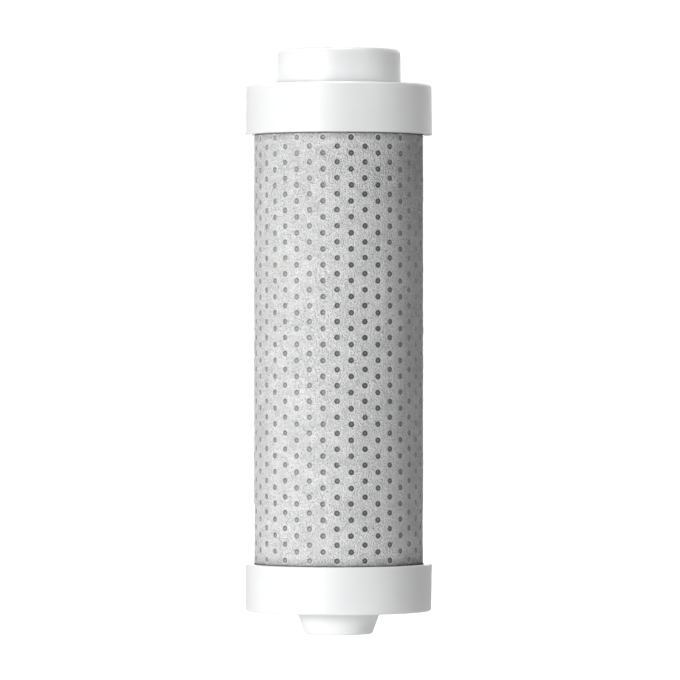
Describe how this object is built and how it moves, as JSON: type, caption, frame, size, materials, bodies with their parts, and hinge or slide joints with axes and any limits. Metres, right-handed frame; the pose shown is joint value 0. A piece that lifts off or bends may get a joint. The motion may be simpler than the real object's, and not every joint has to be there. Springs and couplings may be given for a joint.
{
  "type": "inline water filter cartridge",
  "caption": "Cylindrical carbon filter cartridge with white moulded end caps, a dotted fleece wrap, a tapered nose and an outlet socket in a round boss.",
  "frame": {"origin": "centre of the nose's flat end face, where the cartridge stands", "axes": "+Z along the cartridge's axis, from the nose to the outlet boss; the wrap's seam lies along +Y"},
  "size_m": [0.055, 0.055, 0.1718],
  "materials": {
    "white_plastic": "satin white injection-moulded polypropylene",
    "seal_rubber": "black EPDM with a light film of grease",
    "dotted_fleece": "off-white bonded fleece with rows of fused grey dots",
    "carbon": "matt black sintered carbon grains",
    "plain_fleece": "plain white bonded fleece",
    "natural_plastic": "natural moulded polypropylene",
    "hot_melt": "cloudy straw-coloured hot melt"
  },
  "bodies": {
    "root": {"nose_cap": "white_plastic", "outlet_cap": "white_plastic", "seal_retainer": "white_plastic", "outlet_oring": "seal_rubber", "outer_wrap": "dotted_fleece", "carbon_block": "carbon", "fines_fleece": "plain_fleece", "core_tube": "natural_plastic", "nose_adhesive": "hot_melt", "outlet_adhesive": "hot_melt"}
  },
  "joints": []
}
